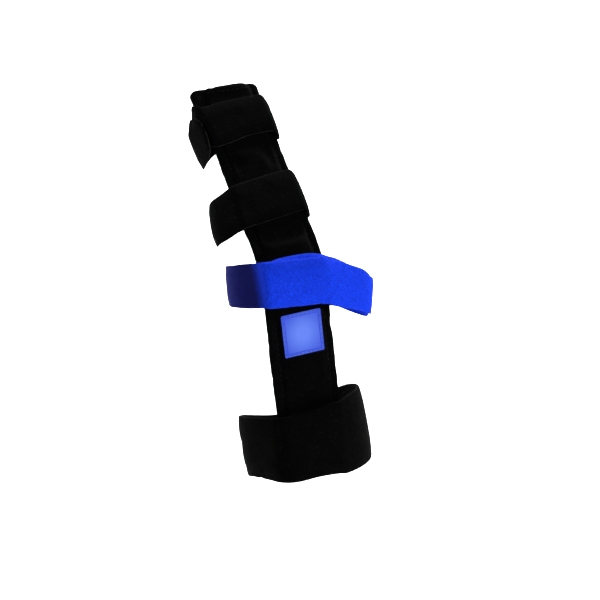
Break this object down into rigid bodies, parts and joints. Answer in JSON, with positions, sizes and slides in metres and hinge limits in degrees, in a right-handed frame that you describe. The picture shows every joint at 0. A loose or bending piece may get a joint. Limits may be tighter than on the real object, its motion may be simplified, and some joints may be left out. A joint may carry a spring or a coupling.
{
  "type": "finger splint",
  "caption": "Dorsal finger splint in worn form: a padded stay sleeve over two fingers, held by finger straps, a palm strap and a wrist cuff.",
  "frame": {"origin": "middle of the wrist hollow, inside the cuff", "axes": "+Z from the wrist to the fingertips along the back of the hand, +Y towards the palm, +X towards the little finger"},
  "size_m": [0.083, 0.0845, 0.2278],
  "materials": {
    "sleeve_fabric": "matt black brushed knit over foam",
    "strap_fabric": "matt black loop-pile strap",
    "blue_loop": "bright blue loop-pile strap",
    "cuff_fabric": "matt black padded foam laminate",
    "label_weave": "woven satin patch, mid blue"
  },
  "bodies": {
    "root": {"stay_sleeve": "sleeve_fabric", "fingertip_strap": "strap_fabric", "middle_finger_strap": "strap_fabric", "palm_strap": "blue_loop", "wrist_cuff": "cuff_fabric", "label": "label_weave"}
  },
  "joints": []
}
